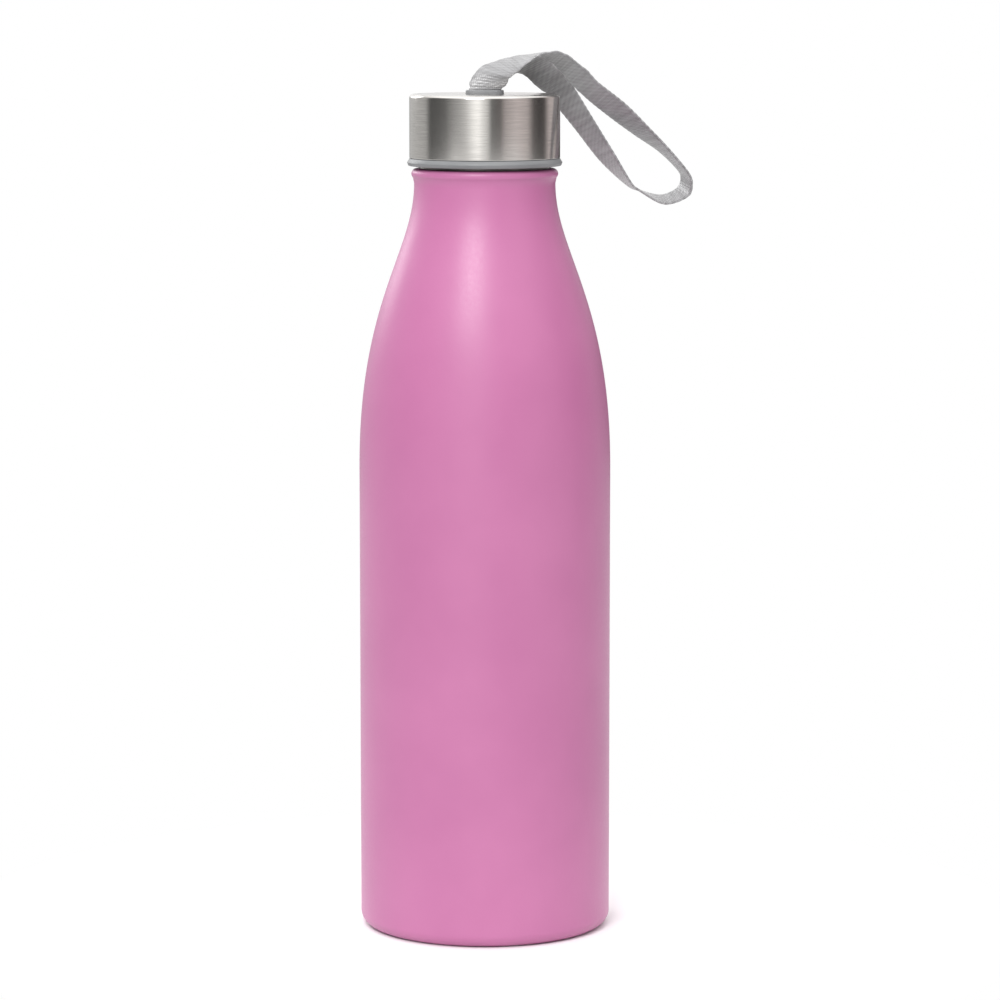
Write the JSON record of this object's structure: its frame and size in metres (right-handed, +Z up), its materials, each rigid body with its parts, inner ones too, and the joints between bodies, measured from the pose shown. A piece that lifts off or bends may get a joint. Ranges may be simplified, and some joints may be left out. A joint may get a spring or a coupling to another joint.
{
  "type": "water bottle",
  "caption": "Slim single-wall steel bottle with a milk-bottle shoulder, a screw cap with a brushed steel shell, and a woven ribbon carry loop.",
  "frame": {"origin": "centre of the flat ring that the bottle stands on", "axes": "+Z up along the bottle and the cap's thread; the slot for the ribbon is long along X, and the carry loop hangs over the cap's edge towards +X and a little towards +Y"},
  "size_m": [0.0974, 0.073, 0.2555],
  "materials": {
    "coat": "satin powder coat",
    "bare_steel": "satin",
    "brushed_steel": "circumferential brushing",
    "grey_plastic": "moulded satin",
    "inner_plastic": "moulded satin",
    "silicone": "matt",
    "ribbon": "ribbed satin weave"
  },
  "bodies": {
    "bottle": {"bottle_shell": "coat", "base_disc": "bare_steel"},
    "seal": {"seal_ring": "silicone"},
    "cap": {"cap_shell": "brushed_steel", "cap_insert": "grey_plastic", "strap_collar": "grey_plastic", "strap_pin": "bare_steel", "inner_plug": "inner_plastic", "strap_tail": "ribbon"},
    "strap": {"strap_loop": "ribbon"}
  },
  "joints": [
    {"name": "cap_lift", "type": "slide", "parent": "bottle", "child": "seal", "axis": [0, 0, 1], "range_m": [0, 0.01576]},
    {"name": "cap_turn", "type": "hinge", "parent": "seal", "child": "cap", "pos_m": [0, 0, 0.2342], "axis": [0, 0, 1], "range_deg": [0, 1260]},
    {"name": "loop_swing", "type": "hinge", "parent": "cap", "child": "strap", "pos_m": [0.0157, 0.0025, 0.2549], "axis": [0, -1, 0], "range_deg": [0, 120]}
  ],
  "couplings": [
    {"joint": "cap_lift", "follows": "cap_turn", "m_per_rad": 0.0007162}
  ]
}
